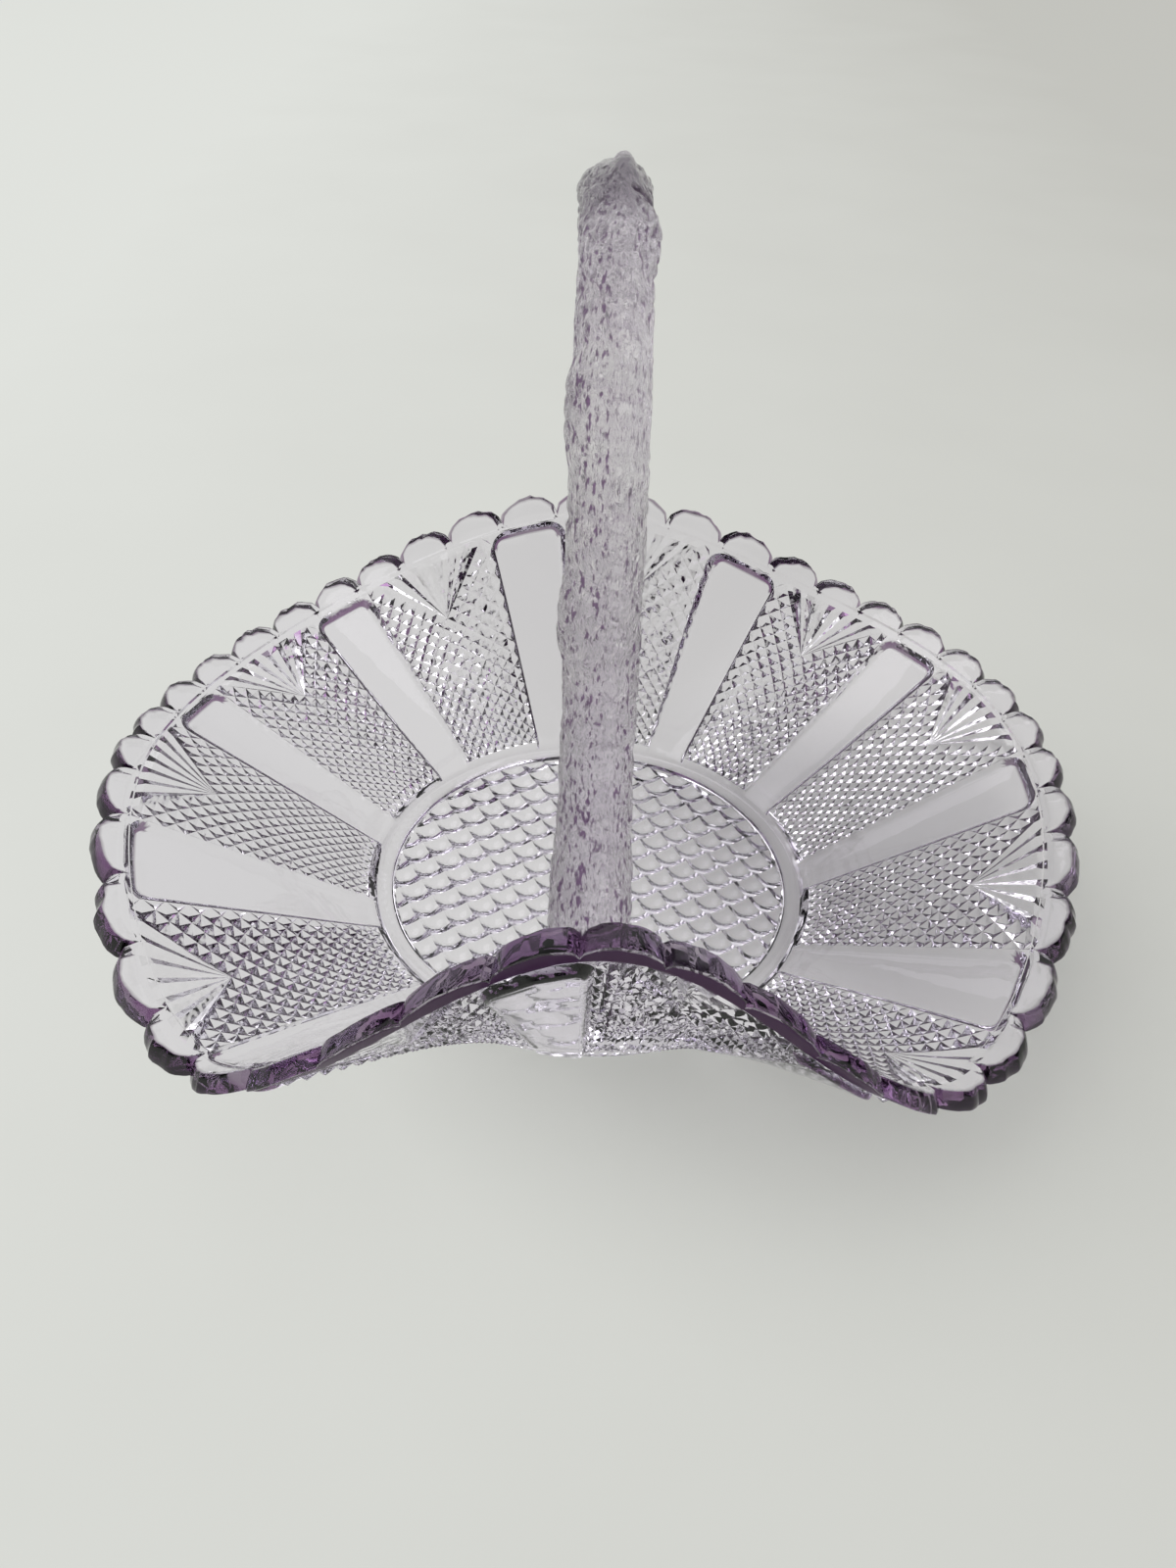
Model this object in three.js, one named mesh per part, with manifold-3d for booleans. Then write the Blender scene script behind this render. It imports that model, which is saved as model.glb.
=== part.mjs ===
// A pressed glass basket: a round dish on a foot ring, its far and near sides drawn up to carry
// a bark textured bail, and its left and right sides splayed low. The bail is two arms, each
// fused to the rim at its foot and lapped over the other at the crown.
// Millimetres, +Z up, origin on the table under the middle of the dish. The long axis is X and
// the bail stands in the YZ plane. Plan angles run anticlockwise from +X.

import * as THREE from 'three';
import { mergeVertices } from 'three/addons/utils/BufferGeometryUtils.js';
import Module from 'manifold-3d';

// Gap left between pieces that are fused on the real object
const JOINT_GAP = 0.3;

// Base of the dish
const RING_RADIUS = 42;
const RING_WIDTH = 4.5;
const RING_HEIGHT = 1.2;
const RING_CHAMFER = 0.6;
const FLOOR_THICKNESS = 2.8;

// Wall and its raised panels
const WALL_THICKNESS = 3.8;
const WALL_FOOT = 3;
const UNITS = 11;
const PANEL_TURN = 68.8;
const PANEL_SCALLOPS = 1.4;
const PANEL_RELIEF = 1;
const PANEL_BEVEL = 2;
const PANEL_CORNER = 4;
const PANEL_FOOT_WIDTH = 8.2;
const PANEL_TOP_GAP = 2;

// Fan of V cuts between two panels: where it starts as a share of the wall's length, its width
// in scallops under the rim, and the share of a cut's room left as land on each side of it. Then
// the depth of a cut, the height over the wall at which its sides begin, and its end's slope
const FAN_CUTS = 7;
const FAN_START = 0.62;
const FAN_SCALLOPS = 2.2;
const FAN_LAND = 0.1;
const FAN_TOP_GAP = 1.6;
const FAN_DEPTH = 1;
const FAN_RIDGE = 0.3;
const FAN_END = 1.4;

// Scallops of the rim, one of them centred on every panel
const SCALLOPS_PER_UNIT = 4;
const SCALLOP_DEPTH = 4.8;
const RIM_BEVEL = 1.1;

// Rim line along the bottoms of the notches between scallops, in the middle of the wall: its
// reach from the axis and its rise above the table at six plan angles, 30 degrees apart, of the
// far half. The near half repeats them half a turn on, with lower shoulders, both corners and the
// shoulder on the right tucked in, and the corner on the left lifted.
const REACH_AT_SIDE = 80.6;
const REACH_AT_RIGHT_CORNER = 85.7;
const REACH_AT_RIGHT_SHOULDER = 79.9;
const REACH_AT_BAIL = 62.3;
const REACH_AT_LEFT_SHOULDER = 78.3;
const REACH_AT_LEFT_CORNER = 83.8;
const RISE_AT_SIDE = 29.2;
const RISE_AT_RIGHT_CORNER = 25.4;
const RISE_AT_RIGHT_SHOULDER = 30.8;
const RISE_AT_BAIL = 47.9;
const RISE_AT_LEFT_SHOULDER = 31.7;
const RISE_AT_LEFT_CORNER = 21.8;
const NEAR_SHOULDER_DROP = 5.6;
const NEAR_SHOULDER_TUCK = 2.5;
const NEAR_CORNER_TUCK = 2;
const NEAR_CORNER_LIFT = 1.5;

// Sideways drift of the rim, in degrees of plan angle, where the hot wall was pulled out
const CORNER_DRIFT = 2.2;
const SHOULDER_DRIFT = 1.3;

// Bail
const BAIL_HEIGHT = 130.5;
const BAIL_HALF_SPAN = 43;
const BAIL_WIDTH = 10;
const BAIL_DEPTH = 9;
const BAIL_LEAN = -1.2;
const FOOT_LAP = 8;
const FOOT_WIDTH = 11.4;
const FOOT_PAD = 5;
const FOOT_SINK = 1.2;
const LAP_ANGLE = 35;
const CREST_HEIGHT = 1.6;
const CREST_LENGTH = 9;
const KNOT_HEIGHT = 1.2;
const KNOT_LENGTH = 7;

// Knots on each arm: distance along the arm from the rim, and the side they stand on
const KNOTS = [
  { along: 38, side: 1 },
  { along: 63, side: 1 },
  { along: 90, side: -1 },
];

// Fineness of the facets
const COLUMNS_PER_SCALLOP = 4;
const ARM_SIDES = 14;
const ARM_RINGS = 26;
const FAN_STEPS = [0.35, 0.7, 1];

const { cos, sin, tan, hypot, sqrt, abs, min, max, PI } = Math;
const radians = THREE.MathUtils.degToRad;
const { lerp, smoothstep } = THREE.MathUtils;

const FLOOR_TOP = RING_HEIGHT + FLOOR_THICKNESS;
const WALL_HALF = WALL_THICKNESS / 2;
const COLUMNS_PER_UNIT = SCALLOPS_PER_UNIT * COLUMNS_PER_SCALLOP;
const COLUMNS = UNITS * COLUMNS_PER_UNIT;

const REACH = [
  REACH_AT_SIDE, REACH_AT_RIGHT_CORNER, REACH_AT_RIGHT_SHOULDER,
  REACH_AT_BAIL, REACH_AT_LEFT_SHOULDER, REACH_AT_LEFT_CORNER,
  REACH_AT_SIDE, REACH_AT_RIGHT_CORNER - NEAR_CORNER_TUCK, REACH_AT_RIGHT_SHOULDER, REACH_AT_BAIL,
  REACH_AT_LEFT_SHOULDER - NEAR_SHOULDER_TUCK, REACH_AT_LEFT_CORNER - NEAR_CORNER_TUCK,
];
const RISE = [
  RISE_AT_SIDE, RISE_AT_RIGHT_CORNER, RISE_AT_RIGHT_SHOULDER,
  RISE_AT_BAIL, RISE_AT_LEFT_SHOULDER, RISE_AT_LEFT_CORNER,
  RISE_AT_SIDE, RISE_AT_RIGHT_CORNER + NEAR_CORNER_LIFT, RISE_AT_RIGHT_SHOULDER - NEAR_SHOULDER_DROP,
  RISE_AT_BAIL, RISE_AT_LEFT_SHOULDER - NEAR_SHOULDER_DROP, RISE_AT_LEFT_CORNER,
];

// Smooth closed curve through stations spread evenly round the turn.
function around(stations, angle) {
  const count = stations.length;
  return stations.reduce((sum, value, k) => {
    const x = angle - 2 * PI * k / count;
    let weight = (1 + cos(count / 2 * x)) / count;
    for (let wave = 1; wave < count / 2; wave += 1) {
      weight += 2 * cos(wave * x) / count;
    }
    return sum + value * weight;
  }, 0);
}

// Straight middle line of the wall at one plan angle, from the floor up to the rim line.
function wallLine(angle) {
  const run = around(REACH, angle) - RING_RADIUS;
  const lift = around(RISE, angle) - FLOOR_TOP;
  const length = hypot(run, lift);
  return { length, outward: run / length, upward: lift / length };
}

// Point of the wall: a distance up its middle line, and an offset from that towards outside.
function wallPoint(angle, along, offset) {
  const { length, outward, upward } = wallLine(angle);
  const radius = RING_RADIUS + along * outward + offset * upward;
  const height = FLOOR_TOP + along * upward - offset * outward;
  const drift = CORNER_DRIFT * sin(4 * angle) - SHOULDER_DRIFT * sin(6 * angle);
  const plan = angle + radians(drift) * along / length;
  return new THREE.Vector3(radius * cos(plan), radius * sin(plan), height);
}

// Closed body through rows of points, each row a loop, with a fan of triangles at both ends.
function closedBody(rows, startPoint, endPoint) {
  const count = rows[0].length;
  const points = [...rows.flat(), startPoint, endPoint];
  const start = points.length - 2;
  const end = points.length - 1;
  const faces = [];
  for (let k = 0; k < count; k += 1) {
    const next = (k + 1) % count;
    const last = (rows.length - 1) * count;
    faces.push(start, next, k);
    for (let row = 0; row < last; row += count) {
      faces.push(row + k, row + next, row + count + k);
      faces.push(row + next, row + count + next, row + count + k);
    }
    faces.push(last + k, last + next, end);
  }
  const geometry = new THREE.BufferGeometry().setFromPoints(points);
  geometry.setIndex(faces);
  return geometry;
}

// Dish

// Half the width of a panel's raised face, as a share of its unit, at the rim and at its foot.
const PANEL_RIM_HALF = PANEL_SCALLOPS / SCALLOPS_PER_UNIT / 2;
const PANEL_FOOT_HALF = PANEL_FOOT_WIDTH / (2 * PI * RING_RADIUS / UNITS) / 2;

// Where a column lies in its unit, from -0.5 to 0.5 with 0 on the middle of the panel.
function unitOffset(column) {
  return column / COLUMNS_PER_UNIT - Math.round(column / COLUMNS_PER_UNIT);
}

// Plan angle of a column. Columns lean in with the panels' edges towards the foot.
function columnAngle(column, share) {
  const offset = unitOffset(column);
  const half = lerp(PANEL_FOOT_HALF, PANEL_RIM_HALF, share);
  const inside = min(abs(offset), PANEL_RIM_HALF) / PANEL_RIM_HALF;
  const outside = max(abs(offset) - PANEL_RIM_HALF, 0) / (0.5 - PANEL_RIM_HALF);
  const leaned = Math.sign(offset) * (half * inside + (0.5 - half) * outside);
  return radians(PANEL_TURN) + (Math.round(column / COLUMNS_PER_UNIT) + leaned) * 2 * PI / UNITS;
}

// How far a column of the wall reaches past the rim line.
function scallopAt(column) {
  const offset = column / COLUMNS_PER_SCALLOP - Math.round(column / COLUMNS_PER_SCALLOP);
  return SCALLOP_DEPTH * sqrt(max(0, 1 - (2 * offset) ** 2));
}

function row(pointAt) {
  return Array.from({ length: COLUMNS }, (_, column) => pointAt(column));
}

function ringRow(radius, height) {
  return row((column) => {
    const angle = columnAngle(column, 1);
    return new THREE.Vector3(radius * cos(angle), radius * sin(angle), height);
  });
}

// Row of the outer face, raised by the panel's relief within half a panel's width.
function outerRow(distanceUp, panelHalf, grow) {
  return row((column) => {
    const { length } = wallLine(columnAngle(column, 1));
    const along = distanceUp(length);
    const relief = abs(unitOffset(column)) < panelHalf ? PANEL_RELIEF : 0;
    return wallPoint(columnAngle(column, along / length), along, WALL_HALF + relief + grow);
  });
}

// Row of the rim or the inner face.
function innerRow(distanceUp, offset) {
  return row((column) => {
    const angle = columnAngle(column, 1);
    const edge = wallLine(angle).length + scallopAt(column);
    return wallPoint(angle, distanceUp(edge), offset);
  });
}

// The dish, or the same dish grown all over by a clearance to cut what is fused to it.
function dish(grow) {
  const panelTop = PANEL_TOP_GAP + PANEL_BEVEL;
  const cornerHalf = PANEL_RIM_HALF - 1 / COLUMNS_PER_UNIT;
  const rows = [
    ringRow(RING_RADIUS - RING_WIDTH - RING_CHAMFER, RING_HEIGHT - grow),
    ringRow(RING_RADIUS - RING_WIDTH, -grow),
    ringRow(RING_RADIUS, -grow),
    outerRow(() => WALL_FOOT, 0, grow),
    outerRow(() => WALL_FOOT + PANEL_BEVEL, PANEL_RIM_HALF, grow),
    outerRow((length) => length / 2, PANEL_RIM_HALF, grow),
    outerRow((length) => length - panelTop - PANEL_CORNER, PANEL_RIM_HALF, grow),
    outerRow((length) => length - panelTop, cornerHalf, grow),
    outerRow((length) => length - PANEL_TOP_GAP, 0, grow),
    innerRow((edge) => edge - RIM_BEVEL + grow, WALL_HALF + grow),
    innerRow((edge) => edge + grow, WALL_HALF - RIM_BEVEL),
    innerRow((edge) => edge + grow, RIM_BEVEL - WALL_HALF),
    innerRow((edge) => edge - RIM_BEVEL + grow, -WALL_HALF - grow),
    innerRow(() => WALL_FOOT, -WALL_HALF - grow),
    ringRow(RING_RADIUS - WALL_FOOT, FLOOR_TOP + grow),
  ];
  const under = new THREE.Vector3(0, 0, RING_HEIGHT - grow);
  const floor = new THREE.Vector3(0, 0, FLOOR_TOP + grow);
  return closedBody(rows, under, floor);
}

// One V cut of a fan, as the wedge of glass that it takes away: loops of three points, two clear
// of the wall and one in its depth, that follow the wall from the tip to the rim. Unit and place
// count panels round the dish and cuts across the fan.
function fanWedge(unit, place) {
  const point = (share, across, end, offset) => {
    const spread = FAN_SCALLOPS / SCALLOPS_PER_UNIT * (across / FAN_CUTS - 0.5);
    const angle = radians(PANEL_TURN) + (unit + 0.5 + spread * share) * 2 * PI / UNITS;
    const { length } = wallLine(angle);
    return wallPoint(angle, lerp(length * FAN_START, length - end, share), WALL_HALF + offset);
  };
  const loops = FAN_STEPS.map((share) => [
    point(share, place + FAN_LAND, FAN_TOP_GAP, FAN_RIDGE),
    point(share, place + 1 - FAN_LAND, FAN_TOP_GAP, FAN_RIDGE),
    point(share, place + 0.5, FAN_TOP_GAP + FAN_END, lerp(FAN_RIDGE, -FAN_DEPTH, share)),
  ]);
  const tip = point(0, place, FAN_TOP_GAP, FAN_RIDGE);
  const end = point(1, place + 0.5, FAN_TOP_GAP, FAN_RIDGE);
  return closedBody(loops, tip, end);
}

function fanWedges() {
  return Array.from({ length: UNITS * FAN_CUTS }, (_, k) => {
    return fanWedge(Math.floor(k / FAN_CUTS), k % FAN_CUTS);
  });
}

// Bail

// Middle line of one arm in its own upright plane, x away from the axis and y up: from the heel
// on the inner face of the wall, over the rim, up the leg and round a quarter of the arch.
function armPath() {
  const { length, outward, upward } = wallLine(PI / 2);
  const slope = new THREE.Vector2(outward, upward);
  const inward = new THREE.Vector2(-upward, outward);
  const heel = new THREE.Vector2(RING_RADIUS, FLOOR_TOP);
  heel.addScaledVector(slope, length - FOOT_LAP);
  heel.addScaledVector(inward, WALL_HALF + FOOT_PAD / 2 - FOOT_SINK);
  const archBase = new THREE.Vector2(BAIL_HALF_SPAN, BAIL_HEIGHT - BAIL_DEPTH / 2 - BAIL_HALF_SPAN);
  const pull = (archBase.y - heel.y) / 2;
  const path = new THREE.CurvePath();
  path.add(new THREE.CubicBezierCurve(
    heel,
    heel.clone().addScaledVector(slope, pull),
    archBase.clone().sub(new THREE.Vector2(0, pull)),
    archBase,
  ));
  path.add(new THREE.EllipseCurve(0, archBase.y, BAIL_HALF_SPAN, BAIL_HALF_SPAN, 0, PI / 2));
  return path;
}

// Loop of points round one arm at a share of its length. The far arm faces 1, the near one -1.
function armRing(path, share, facing, crestHeight) {
  const total = path.getLength();
  const rim = FOOT_LAP + SCALLOP_DEPTH;
  const travelled = share * total;
  const middle = path.getPoint(share);
  const heading = path.getTangent(share);
  const halfWidth = lerp(FOOT_WIDTH, BAIL_WIDTH, smoothstep(travelled, rim, rim + FOOT_WIDTH)) / 2;
  const halfDepth = lerp(FOOT_PAD, BAIL_DEPTH, smoothstep(travelled, 0, rim)) / 2;
  const crest = crestHeight * smoothstep(travelled, total - CREST_LENGTH, total);
  return Array.from({ length: ARM_SIDES }, (_, k) => {
    const across = cos(2 * PI * k / ARM_SIDES);
    const out = sin(2 * PI * k / ARM_SIDES);
    const swell = KNOTS.reduce((sum, knot) => {
      const distance = (travelled - rim - knot.along) / KNOT_LENGTH;
      return sum + knot.side * KNOT_HEIGHT * max(0, across * knot.side) * max(0, 1 - distance ** 2);
    }, 0);
    const side = halfWidth * across + swell;
    const depth = halfDepth * out + crest * max(0, out) ** 4;
    return new THREE.Vector3(
      facing * side + BAIL_LEAN * share ** 2,
      facing * (middle.x + heading.y * depth),
      middle.y - heading.x * depth,
    );
  });
}

// One arm, from its heel to the lap at the crown. The near arm's end runs on over the crown
// with a pinched crest, and the far arm's end lies under it.
function arm(facing, crestHeight) {
  const path = armPath();
  const crown = path.getPoint(1).y;
  const rings = Array.from({ length: ARM_RINGS }, (_, k) => {
    return armRing(path, k / (ARM_RINGS - 1), facing, crestHeight);
  });
  const tilt = radians(LAP_ANGLE);
  const lapAt = (height) => (height - crown) * tan(tilt) + facing * JOINT_GAP / 2 / cos(tilt);
  for (const point of rings.at(-1)) {
    point.y = lapAt(point.z);
  }
  const heelMiddle = new THREE.Vector3(0, facing * path.getPoint(0).x, path.getPoint(0).y);
  const lapMiddle = new THREE.Vector3(BAIL_LEAN, lapAt(crown), crown);
  return closedBody(rings, heelMiddle, lapMiddle);
}

// Solids cut from one another

const wasm = await Module();
wasm.setup();

function solid(geometry) {
  const merged = mergeVertices(geometry.clone());
  return new wasm.Manifold(new wasm.Mesh({
    numProp: 3,
    vertProperties: new Float32Array(merged.attributes.position.array),
    triVerts: new Uint32Array(merged.index.array),
  }));
}

function cut(blank, tools) {
  const mesh = tools.reduce((rest, tool) => rest.subtract(solid(tool)), solid(blank)).getMesh();
  const geometry = new THREE.BufferGeometry();
  geometry.setAttribute('position', new THREE.BufferAttribute(mesh.vertProperties, 3));
  geometry.setIndex(new THREE.BufferAttribute(mesh.triVerts, 1));
  return geometry;
}

// Assembly

function piece(name, geometry, colour, roughness) {
  geometry.computeVertexNormals();
  const material = new THREE.MeshStandardMaterial({ color: colour, roughness, metalness: 0 });
  const mesh = new THREE.Mesh(geometry, material);
  mesh.name = name;
  return mesh;
}

const grownDish = dish(JOINT_GAP);
const basket = new THREE.Group();
basket.add(piece('bowl', cut(dish(0), fanWedges()), 0xd8d3dc, 0.06));
basket.add(piece('near_arm', cut(arm(-1, CREST_HEIGHT), [grownDish]), 0xb3a9b4, 0.25));
basket.add(piece('far_arm', cut(arm(1, 0), [grownDish]), 0xb3a9b4, 0.25));

export default basket;
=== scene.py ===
# %% [markdown]
# A pressed glass basket. The dish is one pressing: a patterned sheet of hot glass on a foot
# ring, whose far and near sides were pulled up while it was soft. The bail is two arms of the
# same glass with a bark texture, fused to the rim and lapped at the crown. The frame brings the
# plain solids, and this lesson builds the fine surface of the three pieces around them.

# %% The frame
from functools import lru_cache
from math import atan2, cos, exp, hypot, log, pi, radians, sin, sqrt, tan

import bmesh
import bpy
from mathutils import Matrix, Vector, geometry, noise


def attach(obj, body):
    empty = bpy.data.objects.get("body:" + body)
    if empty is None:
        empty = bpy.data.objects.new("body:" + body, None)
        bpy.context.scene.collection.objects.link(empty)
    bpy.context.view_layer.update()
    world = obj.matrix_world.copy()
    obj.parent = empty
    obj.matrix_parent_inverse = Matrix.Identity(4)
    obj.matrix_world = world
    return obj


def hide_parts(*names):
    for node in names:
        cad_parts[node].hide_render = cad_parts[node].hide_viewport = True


MM = 0.001
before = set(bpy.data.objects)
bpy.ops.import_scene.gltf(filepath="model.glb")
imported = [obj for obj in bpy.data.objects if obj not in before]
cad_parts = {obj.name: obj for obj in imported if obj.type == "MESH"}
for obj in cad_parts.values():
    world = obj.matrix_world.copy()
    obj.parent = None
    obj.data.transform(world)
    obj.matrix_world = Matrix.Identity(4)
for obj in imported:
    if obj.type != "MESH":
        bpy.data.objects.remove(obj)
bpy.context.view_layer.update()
scene = bpy.context.scene
print("solids:", ", ".join(sorted(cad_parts)))

# %% [markdown]
# The camera stands close in front of the basket and looks down on it, a little rolled. A
# constraint could aim it, but a place and two angles are easier to match to a picture: the foot
# ring, the notches of the rim and the foot of the bail settle them. A short lens close by is
# what makes the near rim so large against the far one.

# %% Camera
LENS = 30.375
SENSOR = 36.0
CAMERA_PLACE = Vector((-1.1, -187.7, 176.9)) * MM
CAMERA_DIP = radians(38.84)
CAMERA_ROLL = radians(2.84)
CAMERA_NEAR = 0.005

camera_data = bpy.data.cameras.new("camera")
camera_data.lens = LENS
camera_data.sensor_fit = "VERTICAL"
camera_data.sensor_width = SENSOR
camera_data.sensor_height = SENSOR
camera_data.clip_start = CAMERA_NEAR
camera = bpy.data.objects.new("camera", camera_data)
scene.collection.objects.link(camera)
camera_turn = Matrix.Rotation(pi / 2 - CAMERA_DIP, 4, "X") @ Matrix.Rotation(CAMERA_ROLL, 4, "Z")
camera.matrix_world = Matrix.Translation(CAMERA_PLACE) @ camera_turn
scene.camera = camera
print("camera is", round(CAMERA_PLACE.length, 3), "m from the middle of the foot ring")

# %% [markdown]
# Shader maths reads best as plain sums. Each Math node could be added by hand, but then the
# formula is lost among the links. A small class wraps one output of a node, so that
# `1 - mask * 0.3` adds its Math nodes by itself, and every other node comes from one method. A
# few helpers then name the nodes that more than one finish uses.


# %% Shader sums
def set_stops(elements, stops):
    while len(elements) < len(stops):
        elements.new(1.0)
    for element, (position, colour) in zip(elements, stops):
        element.position = position
        element.color = (*colour, 1.0)


class Wire:
    """One output of a shader node that takes part in Python sums."""

    def __init__(self, tree, socket=None):
        self.tree = tree
        self.socket = socket

    def node(self, kind, settings=None, inputs=None, output=0):
        """Adds a node: its settings first, then the values or links of its sockets."""
        made = self.tree.nodes.new("ShaderNode" + kind)
        for name, value in (settings or {}).items():
            if name == "stops":
                set_stops(made.color_ramp.elements, value)
            else:
                setattr(made, name, value)
        for name, value in (inputs or {}).items():
            if isinstance(value, Wire):
                self.tree.links.new(value.socket, made.inputs[name])
            else:
                made.inputs[name].default_value = value
        return Wire(self.tree, made.outputs[output] if made.outputs else None)

    def maths(self, operation, first, second):
        return self.node("Math", {"operation": operation}, {0: first, 1: second})

    def __add__(self, other):
        return self.maths("ADD", self, other)

    def __radd__(self, other):
        return self.maths("ADD", other, self)

    def __sub__(self, other):
        return self.maths("SUBTRACT", self, other)

    def __rsub__(self, other):
        return self.maths("SUBTRACT", other, self)

    def __mul__(self, other):
        return self.maths("MULTIPLY", self, other)

    def __rmul__(self, other):
        return self.maths("MULTIPLY", other, self)


print("a wire can be added, taken away and multiplied")


# %% Helpers for materials
def new_material(name):
    """A material with an empty node tree, and a wire to build it with."""
    material = bpy.data.materials.new(name)
    material.use_nodes = True
    material.node_tree.nodes.clear()
    return material, Wire(material.node_tree)


def cloud(wire, place, scale, detail):
    return wire.node("TexNoise", None, {"Vector": place, "Scale": scale, "Detail": detail})


def ramp(wire, value, stops):
    return wire.node("ValToRGB", {"stops": stops}, {"Fac": value})


def mask(wire, value, low, high):
    """0 up to the low value, 1 from the high one on, and a straight slope between them."""
    return ramp(wire, value, ((low, (0, 0, 0)), (high, (1, 1, 1))))


def mesh_value(wire, name, output="Fac"):
    """A number or a vector that each point of the mesh keeps under a name."""
    return wire.node("Attribute", {"attribute_name": name}, output=output)


print("materials that came with the frame:", len(bpy.data.materials))

# %% [markdown]
# Old pressed glass is clear in a thin wall and purple where it is thick, because the sun has
# coloured a little manganese in it. A tinted surface would be the same everywhere, so the colour
# is a volume that absorbs green most. Pressing leaves soft ripples and dull specks, and its
# facets are a little wavy, so that they sparkle unevenly. Bump and roughness do that.
#
# Three numbers on the mesh say where the glass is special. `edge` is the thick rim and the ends
# of the panels, which are tinted like deep glass and darkened further with painted shade. `lip`
# and `facet` are the strip under the rim and the cut facets, where light that arrives at a flat
# angle is lost inside the glass. There a dark surface of painted shade takes over as the view
# gets flatter, on a facet only for a ray from inside.

# %% Clear glass
GLASS_INDEX = 1.52
GLASS_TINT = (0.45, 0.34, 0.58, 1.0)
GLASS_DENSITY = 14.0
WALL_TINT = (0.98, 0.96, 1.0)
# Near-black purple of the thick edges: the deep colour of thick glass, made darker with painted
# shade.
EDGE_TINT_AND_SHADE = (0.075, 0.025, 0.085)
# Colour of the dark surface: painted shade where light is lost inside the glass.
PAINTED_SHADE_TINT = (0.06, 0.02, 0.07, 1.0)
PAINTED_SHADE_INDEX = 1.1
PAINTED_SHADE_ROUGHNESS = 0.3
EDGE_LEAST = 0.7
EDGE_MOTTLE = 0.6
RIPPLE_SCALE = 90.0
RIPPLE_STRENGTH = 0.15
RIPPLE_HEIGHT = 0.6 * MM
WAVE_SCALE = 420.0
WAVE_SHARE = 4.0
SPECK_SCALE = 700.0
SPECK = (0.55, 0.75)
SPECK_ROUGHNESS = 0.05
FLAT_VIEW = (0.42, 0.62)


def clear_glass():
    material, wire = new_material("bowl_glass")
    place = wire.node("TexCoord", output="Object")
    ripple = cloud(wire, place, RIPPLE_SCALE, detail=2.0)
    wave = cloud(wire, place, WAVE_SCALE, detail=1.0)
    speck = mask(wire, cloud(wire, place, SPECK_SCALE, detail=3.0), *SPECK)
    facet = mesh_value(wire, "facet")
    bump = wire.node("Bump", None, {
        "Strength": RIPPLE_STRENGTH, "Distance": RIPPLE_HEIGHT,
        "Height": ripple + facet * wave * WAVE_SHARE,
    })
    # Darkening of the thick edges, partly their deep purple and partly painted shade.
    edge_darkening = mesh_value(wire, "edge") * (EDGE_LEAST + ripple * EDGE_MOTTLE)
    tint = ramp(wire, edge_darkening, ((0.0, WALL_TINT), (1.0, EDGE_TINT_AND_SHADE)))
    clear = wire.node("BsdfPrincipled", None, {
        "Base Color": tint, "Roughness": speck * SPECK_ROUGHNESS, "IOR": GLASS_INDEX,
        "Transmission Weight": 1.0, "Normal": bump,
    })
    # Painted shade: a dark surface that takes over at flat views on the lip and the facets.
    painted_shade = wire.node("BsdfPrincipled", None, {
        "Base Color": PAINTED_SHADE_TINT, "Roughness": PAINTED_SHADE_ROUGHNESS, "IOR": PAINTED_SHADE_INDEX,
    })
    from_inside = wire.node("NewGeometry", output="Backfacing")
    facing = wire.node("LayerWeight", None, {"Blend": 0.5}, output="Facing")
    lost = mask(wire, facing, *FLAT_VIEW) * (mesh_value(wire, "lip") + facet * from_inside)
    surface = wire.node("MixShader", None, {"Fac": lost, 1: clear, 2: painted_shade})
    inside = wire.node("VolumeAbsorption", None, {"Color": GLASS_TINT, "Density": GLASS_DENSITY})
    wire.node("OutputMaterial", None, {"Surface": surface, "Volume": inside})
    return material


BOWL_GLASS = clear_glass()
print("glass:", BOWL_GLASS.name)

# %% [markdown]
# The bark of the bail is the same glass with a rough pressed skin. It looks milky lilac; its pits
# and furrows are darkened with painted shade and its raised strands paled with painted highlight.
# A picture of bark could be wrapped round it, but then the colour would not sit in the furrows.
# Each point of the mesh keeps how deep it lies, how rough its part of the arm is, and its place
# in the bark's own long cells, so that pits and strands follow the arm and fade where the skin is
# smooth.

# %% Bark glass
BARK_TINT = (0.52, 0.36, 0.62, 1.0)
BARK_DENSITY = 4.0
BARK_CLEAR = 0.95
BARK_ROUGHNESS = 0.04
BARK_STRENGTH = 0.5
BARK_RELIEF = 0.4 * MM
SKIN_DEPTH = 0.2
FURROW_SHARE = 0.3
PIT_SHARE = 0.95
STRAND_SHARE = 0.35
STRAND_RISE = 0.6
WRINKLE_SCALE = 0.9
WRINKLE_ROUGHNESS = 0.12
PIT_SCALE = 2.0
PIT = (0.52, 0.66)
STRAND = ((0.38, (0, 0, 0)), (0.48, (1, 1, 1)), (0.58, (0, 0, 0)))
# Clear glass on a raised strand, dark purple painted shade deep in a furrow or pit.
BARK_CLEAR_TO_SHADED = ((0.0, (1.0, 0.99, 1.0)), (0.35, (0.96, 0.925, 0.965)), (1.0, (0.11, 0.04, 0.14)))


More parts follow.
